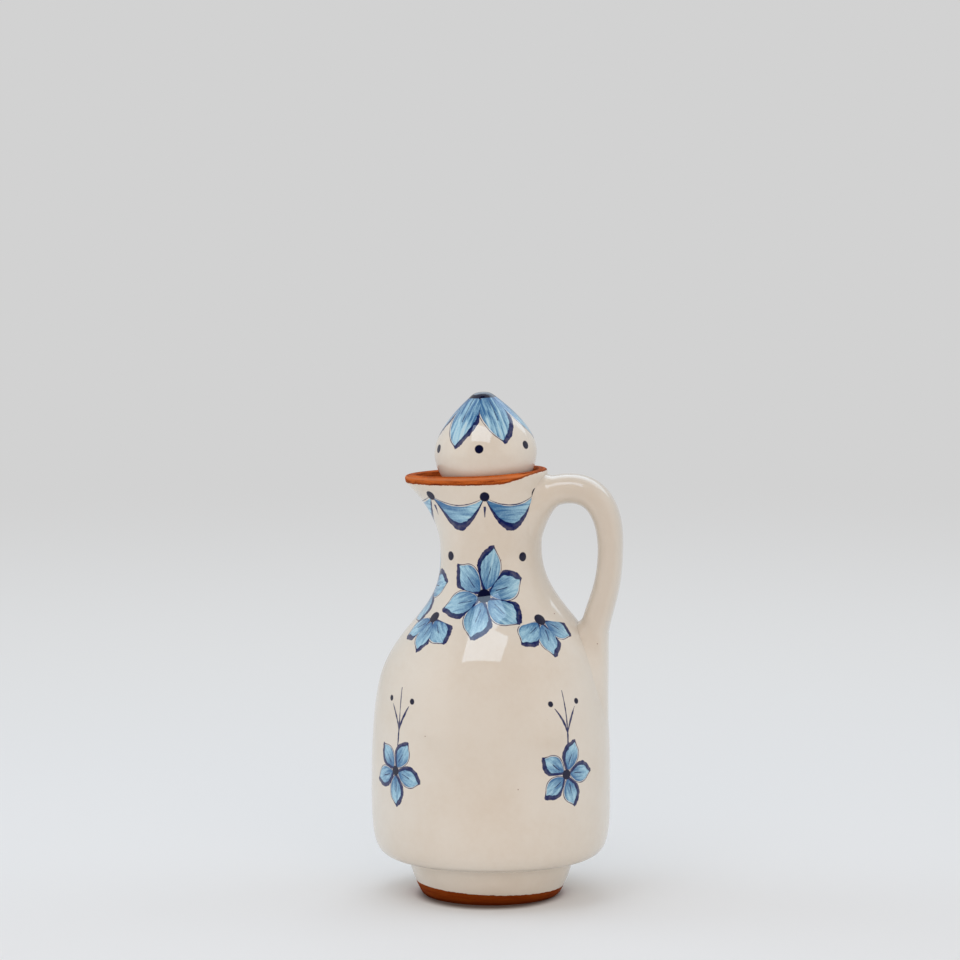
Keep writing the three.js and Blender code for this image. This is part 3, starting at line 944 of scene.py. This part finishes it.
def knob_finish(stopper, look):
    """Cream glaze with a dark cap and a ring of brushed tongues, bare clay underneath."""
    finish = new_finish("painted_knob")
    place = finish.millimetres()
    upright = finish.node(
        "ShaderNodeMapping", {"vector_type": "TEXTURE"},
        {"Vector": place, "Location": (0, 0, stopper.seat_height / MM), "Rotation": (0, -stopper.lean, 0)})
    x, y, z = finish.parts(upright)
    run = finish.attribute(RUN)
    radius = hypot(x, y)
    turn = bearing(x, y)
    brush = Brush(finish, place)
    local, cell = repeated(turn, look.tongues)
    aside = local * (radius * 0.8 + 2.4)
    draw = finish.chance(cell + 11)
    span = draw * TONGUE_PLAY + TONGUE_REACH
    inside = petal(span + TONGUE_START - run, aside, span, TONGUE_HALF)
    down = (run / TONGUE_REACH).least(1.0)
    brush.wash_in(inside - 0.3 + aside * 0.05, down, aside, cell + 5, play=3.2)
    brush.stroke(inside - 0.1, aside.fade(-1.0, 1.6) * 1.8 + FINE_LINE)
    brush.stroke(abs(aside) + run.fade(18.0, 20.0) * 3, 0.3)
    between = repeated(turn, look.tongues, 0.5)[0]
    brush.dab(hypot(between * radius, run - KNOB_DOT_RUN), KNOB_DOT)
    brush.dab(run, CAP_RADIUS)
    ground, speck = glaze_ground(finish, place, look)
    painted = brush.over(ground, look)
    ring_run = runs_along(knob_outside(stopper))[-1] / MM
    bare = (run + ragged_edge(finish, place) * 0.8 - ring_run).fade(-0.9, -0.6)
    clay, relief = bare_clay(finish, place, turn, z, radius, look.clay[:], look.dark_clay[:])
    return glazed(finish, place, finish.mix(bare, painted, clay), speck, bare, relief)


def cork_finish(look):
    """Cork: mottled grain with dark pores."""
    finish = new_finish("cork")
    place = finish.millimetres()
    mottle = finish.noise(place, 0.5, 4.0, 0.65)
    x, y, z = finish.parts(place)
    pore_place = finish.vector(x * 0.5, y * 0.5, z * 1.6)
    pore = finish.noise(pore_place, 0.55, 3.0, 0.6).fade(0.6, 0.68)
    darkness = (mottle.fade(0.3, 0.75) * 0.45 + pore * 0.6).least(1.0)
    colour = finish.mix(darkness, look.cork[:], look.dark_cork[:])
    height = mottle * 0.5 - pore
    return finish.surface(Base_Color=colour, Roughness=0.85, Normal=finish.bump(height, 0.4))


class CRUET_OT_jug(bpy.types.Operator):
    """Throws the jug, pulls its lip and paints it"""
    bl_idname = "cruet.jug"
    bl_label = "Throw the jug"

    def execute(self, context):
        jug = context.scene.cruet_jug
        bm = spun(jug_profile(jug))
        for vert in bm.verts:
            vert.co = pulled(jug, thrown(jug, vert.co))
        finished("painted_jug", bm, jug_finish(jug, context.scene.cruet_finishes), "jug", "jug_body")
        return {"FINISHED"}


def smooth_step(share):
    return share * share * (3 - 2 * share)


def ease_out(share):
    return 1 - (1 - share) ** ROOT_EASE


def handle_rings(handle, radius_at):
    """The handle's middle line with the thickness and the width of the strap at each point."""
    root = at(radius_at(handle.root_height) - handle.root_depth, handle.root_height)
    widest = at(handle.reach, handle.widest_height)
    landing = at(radius_at(handle.landing_height) + handle.standoff, handle.landing_height)
    tail = at(radius_at(handle.tail_height) - handle.tail_sink, handle.tail_height)
    strap = Vector((handle.strap_thickness, handle.strap_width))
    root_section, landing_section, tail_section = (
        Vector(section) * MM for section in (ROOT_SECTION, LANDING_SECTION, TAIL_SECTION))
    arch = bent(root, offset(ROOT_LEAVE), offset(WIDEST_ARRIVE), widest, FACETS["arch"])
    fall = bent(widest, offset(WIDEST_LEAVE), offset(LANDING_ARRIVE), landing, FACETS["fall"])
    trail = bent(landing, offset(LANDING_LEAVE), offset(TAIL_ARRIVE), tail, FACETS["tail"])
    stretches = [
        (arch, root_section, strap, ease_out, handle.crown_swell),
        (fall, strap, landing_section, smooth_step, 0),
        (trail, landing_section, tail_section, float, 0),
    ]
    rings = []
    for points, first, last, ease, swell in stretches:
        for index, point in enumerate(points):
            if rings and index == 0:
                continue
            share = index / (len(points) - 1)
            section = first.lerp(last, ease(share)) + Vector((swell * math.sin(math.pi * share), 0))
            rings.append((point, section))
    return rings


def ring_frames(rings):
    """For each ring the matrix that lays a round of radius 1 across the strap there."""
    frames = []
    for index, (point, section) in enumerate(rings):
        before = rings[max(index - 1, 0)][0]
        after = rings[min(index + 1, len(rings) - 1)][0]
        tangent = (after - before).normalized()
        across = Vector((0, 1, 0))
        normal = across.cross(tangent)
        frames.append(Matrix.Translation(point) @ Matrix((
            normal * section.x / 2, across * section.y / 2, tangent * section.x / 2)).transposed().to_4x4())
    return frames


def luted(handle, point, normal, radius_at):
    """The point with soft clay worked round the joint, so that it runs out along the jug's surface."""
    radius = math.hypot(point.x, point.y)
    slope = (radius_at(point.z + MM) - radius_at(point.z - MM)) / (2 * MM)
    lean = math.hypot(1, slope)
    turn = math.atan2(point.y, point.x)
    aside = -normal.x * math.sin(turn) + normal.y * math.cos(turn)
    outwards = normal.x * math.cos(turn) + normal.y * math.sin(turn)
    upwards = (outwards * slope + normal.z) / lean
    reach = handle.fillet
    tall = handle.fillet
    if point.z > handle.widest_height:
        under = max(0, -upwards)
        over = max(0, upwards)
        reach += under * (handle.web - handle.fillet) - over * OVER_REACH * handle.fillet
        tall += under * (handle.web_height - handle.fillet) - over * OVER_SPREAD * handle.fillet
    off = radius - radius_at(point.z)
    share = min(1 - off / lean / reach, 1)
    if share <= 0:
        return point
    depth = LUTING_DEPTH * MM
    if off < 0:
        off = depth * (math.exp(off / depth) - 1)
    spread = tall * share ** LUTING_CURVE
    height = point.z + spread * upwards / lean
    turn += spread * aside / radius
    radius = radius_at(height) + off - LUTING_SINK * MM * smooth_step(share)
    return Vector((radius * math.cos(turn), radius * math.sin(turn), height))


class CRUET_OT_handle(bpy.types.Operator):
    """Pulls the strap handle and lutes it to the jug"""
    bl_idname = "cruet.handle"
    bl_label = "Pull the handle"

    def execute(self, context):
        jug = context.scene.cruet_jug
        handle = context.scene.cruet_handle
        radius_at = jug_radius(jug)
        frames = ring_frames(handle_rings(handle, radius_at))
        bm = bmesh.new()
        bmesh.ops.create_circle(bm, segments=STRAP_SIDES, radius=1, cap_ends=True)
        for vert in bm.verts:
            vert.co = [math.copysign(abs(value) ** SQUARENESS, value) for value in vert.co]
        bmesh.ops.transform(bm, matrix=frames[0], verts=bm.verts)
        ring = bm.edges[:]
        for before, after in zip(frames, frames[1:]):
            verts, ring = extruded(bm, ring)
            bmesh.ops.transform(bm, matrix=after @ before.inverted(), verts=verts)
        bmesh.ops.edgeloop_fill(bm, edges=ring)
        bmesh.ops.poke(bm, faces=[face for face in bm.faces if len(face.verts) == STRAP_SIDES])
        bmesh.ops.recalc_face_normals(bm, faces=bm.faces)
        bm.normal_update()
        moved = [luted(handle, vert.co, vert.normal, radius_at) for vert in bm.verts]
        for vert, place in zip(bm.verts, moved):
            vert.co = place
        finished("strap_handle", bm, handle_finish(context.scene.cruet_finishes), "jug", "handle")
        return {"FINISHED"}


def seated(stopper):
    """The matrix that stands the stopper in the mouth."""
    return Matrix.Translation((0, 0, stopper.seat_height)) @ Matrix.Rotation(-stopper.lean, 4, "Y")


def knob_outside(stopper):
    """The knob's outside from its tip down to its lower ring."""
    tip = at(stopper.tip_radius, stopper.tip_height - TIP_DROP * MM)
    top = at(0, stopper.tip_height)
    belt = at(stopper.belt_radius, stopper.belt_height)
    crown = bent(top, offset(CROWN_LEAVE), offset(CROWN_ARRIVE), tip, FACETS["crown"])
    cone = bent(tip, offset(CONE_LEAVE), offset(BELT_ARRIVE), belt, FACETS["cone"])
    low = math.acos(stopper.ring_radius / stopper.belt_radius)
    steps = FACETS["belly"]
    belly = [
        belt + at(stopper.belt_radius * (math.cos(turn) - 1), -stopper.belly_depth * math.sin(turn))
        for turn in (low * step / steps for step in range(steps + 1))]
    return joined([crown, cone, belly])


def knob_profile(stopper):
    """The knob's wall from its tip down the outside, under its ring and up into the hollow."""
    outside = knob_outside(stopper)
    foot = outside[-1]
    inner = at(stopper.socket_radius, foot.z)
    shelf = at(stopper.socket_radius, stopper.cork_length)
    ceiling = at(0, stopper.tip_height - KNOB_WALL * MM)
    rise = at(0, ceiling.z - shelf.z) * HOLLOW_PULL
    close = at(-stopper.socket_radius, 0) * HOLLOW_PULL
    hollow = bent(shelf, rise, close, ceiling, FACETS["hollow"])
    return outside + [inner.lerp(foot, 0.15), inner + at(0, SOCKET_BEVEL * MM), *hollow]


class CRUET_OT_knob(bpy.types.Operator):
    """Throws the hollow stopper knob and paints it"""
    bl_idname = "cruet.knob"
    bl_label = "Throw the knob"

    def execute(self, context):
        stopper = context.scene.cruet_stopper
        bm = spun(knob_profile(stopper))
        bmesh.ops.transform(bm, matrix=seated(stopper), verts=bm.verts)
        material = knob_finish(stopper, context.scene.cruet_finishes)
        finished("painted_knob", bm, material, "stopper", "stopper_knob")
        return {"FINISHED"}


class CRUET_OT_cork(bpy.types.Operator):
    """Turns the tapered cork"""
    bl_idname = "cruet.cork"
    bl_label = "Turn the cork"

    def execute(self, context):
        stopper = context.scene.cruet_stopper
        bevel = stopper.cork_bevel
        bm = spun([
            at(0, 0), at(stopper.cork_narrow * 0.6, 0), at(stopper.cork_narrow - bevel, 0),
            at(stopper.cork_narrow, bevel), at(stopper.cork_wide, stopper.cork_length - bevel),
            at(stopper.cork_wide - bevel, stopper.cork_length), at(0, stopper.cork_length)])
        bmesh.ops.transform(bm, matrix=seated(stopper), verts=bm.verts)
        finished("cork", bm, cork_finish(context.scene.cruet_finishes), "stopper", "stopper_cork")
        return {"FINISHED"}


def floor_finish(look):
    """A pale floor that keeps shadows near the cruet, has a painted contact shadow round the foot, and runs
    out into the backdrop.
    """
    finish = new_finish("floor")
    place = finish.node("ShaderNodeTexCoord", output="Object")
    x, y, z = finish.parts(place)
    away = hypot(x, y)
    # Painted contact shadow: the floor darkens towards the foot
    clear = hypot(x * CONTACT_NARROWING, y + CONTACT_SHIFT).fade(*CONTACT_FADE)
    shade = finish.mix(clear, look.painted_contact_shadow[:], look.floor[:])
    distant = finish.mix(away.fade(*BACKDROP_FADE), look.far_floor[:], look.backdrop[:])
    near = finish.node("ShaderNodeBsdfDiffuse", {}, {"Color": shade})
    glow = finish.node("ShaderNodeEmission", {}, {"Color": distant})
    return finish.blended(away.fade(*GLOW_FADE), near, glow)


def room_light(look):
    """A world of one pale colour, which is also the backdrop."""
    finish = Finish(bpy.data.worlds.new("room"))
    pale = finish.node("ShaderNodeBackground", {}, {"Color": look.backdrop[:]})
    return finish.ended("ShaderNodeOutputWorld", pale)


def card_finish(look):
    """The matt black of the card that darkens the front of the room, fading out to its edges."""
    finish = new_finish("card")
    x, y, z = finish.parts(finish.node("ShaderNodeTexCoord", output="Object"))
    cover = abs(x).fade(*CARD_SIDE_FADE) * z.fade(*CARD_UP_FADE).most((-y).fade(*CARD_OUT_FADE))
    clear = finish.node("ShaderNodeBsdfTransparent")
    dark = finish.node("ShaderNodeBsdfDiffuse", {}, {"Color": look.card[:]})
    return finish.blended(cover, clear, dark)


def lamp(name, place, size, watts, tone, mirrored):
    """A soft light that faces the cruet, and either shows in glossy things or lights matt ones."""
    data = bpy.data.lights.new(name, "AREA")
    data.shape = "RECTANGLE"
    data.size, data.size_y = size
    data.energy = watts
    data.color = tone[:3]
    light = linked(name, data)
    light.location = place
    light.rotation_euler = (place - LIT_POINT).to_track_quat("Z", "Y").to_euler()
    light.visible_diffuse = not mirrored
    light.visible_glossy = mirrored


def staged(name, bm, material):
    """Turns a bmesh into a thing of the stage, which is no part of the cruet."""
    thing = meshed(name, bm, material)
    return thing


class CRUET_OT_stage(bpy.types.Operator):
    """Sets the floor, the lights and the camera"""
    bl_idname = "cruet.stage"
    bl_label = "Set the stage"

    def execute(self, context):
        scene = context.scene
        look = scene.cruet_stage
        bm = bmesh.new()
        bmesh.ops.create_circle(bm, segments=FLOOR_SIDES, radius=FLOOR_RADIUS, cap_ends=True)
        staged("floor", bm, floor_finish(look))

        bm = bmesh.new()
        edge = [bm.edges.new([bm.verts.new((side, *CARD_EDGE)) for side in (-CARD_HALF, CARD_HALF)])]
        for fold in CARD_FOLDS:
            verts, edge = extruded(bm, edge)
            bmesh.ops.translate(bm, vec=fold, verts=verts)
        turn = Matrix.Rotation(look.azimuth, 4, "Z")
        card = staged("card", bm, card_finish(look))
        card.matrix_world = turn
        card.visible_camera = False
        card.visible_diffuse = False
        card.visible_shadow = False

        for name, (place, size, tone, mirrored) in LAMPS.items():
            lamp(name, turn @ Vector(place), size, getattr(look, name), getattr(look, tone), mirrored)
        scene.world = room_light(look)

        data = bpy.data.cameras.new("camera")
        data.lens = look.focal
        data.sensor_width = SENSOR_WIDTH
        camera = linked("camera", data)
        away = turn @ Vector((0, -math.cos(look.elevation), math.sin(look.elevation)))
        camera.location = turn @ Vector(look.aim) + away * look.distance
        camera.rotation_euler = away.to_track_quat("Z", "Y").to_euler()
        scene.camera = camera
        scene.view_settings.view_transform = "Standard"
        return {"FINISHED"}


GROUPS = {
    "cruet_jug": JugSizes,
    "cruet_handle": HandleSizes,
    "cruet_stopper": StopperSizes,
    "cruet_finishes": Finishes,
    "cruet_stage": StageLook,
}
STEPS = (CRUET_OT_stage, CRUET_OT_jug, CRUET_OT_handle, CRUET_OT_knob, CRUET_OT_cork)


class CRUET_PT_panel(bpy.types.Panel):
    """The cruet's sizes, finishes and steps"""
    bl_label = "Oil cruet"
    bl_idname = "CRUET_PT_panel"
    bl_space_type = "VIEW_3D"
    bl_region_type = "UI"
    bl_category = "Cruet"

    def draw(self, context):
        for step in STEPS:
            self.layout.operator(step.bl_idname)
        for name, group in GROUPS.items():
            box = self.layout.box()
            for field in group.__annotations__:
                box.prop(getattr(context.scene, name), field)


def register():
    for kind in (*GROUPS.values(), *STEPS, CRUET_PT_panel):
        bpy.utils.register_class(kind)
    for name, group in GROUPS.items():
        setattr(bpy.types.Scene, name, PointerProperty(type=group))


def unregister():
    for name in GROUPS:
        delattr(bpy.types.Scene, name)
    for kind in reversed((*GROUPS.values(), *STEPS, CRUET_PT_panel)):
        bpy.utils.unregister_class(kind)


def main():
    register()
    bpy.ops.cruet.stage()
    bpy.ops.cruet.jug()
    bpy.ops.cruet.handle()
    bpy.ops.cruet.knob()
    bpy.ops.cruet.cork()


if __name__ == "__main__":
    main()
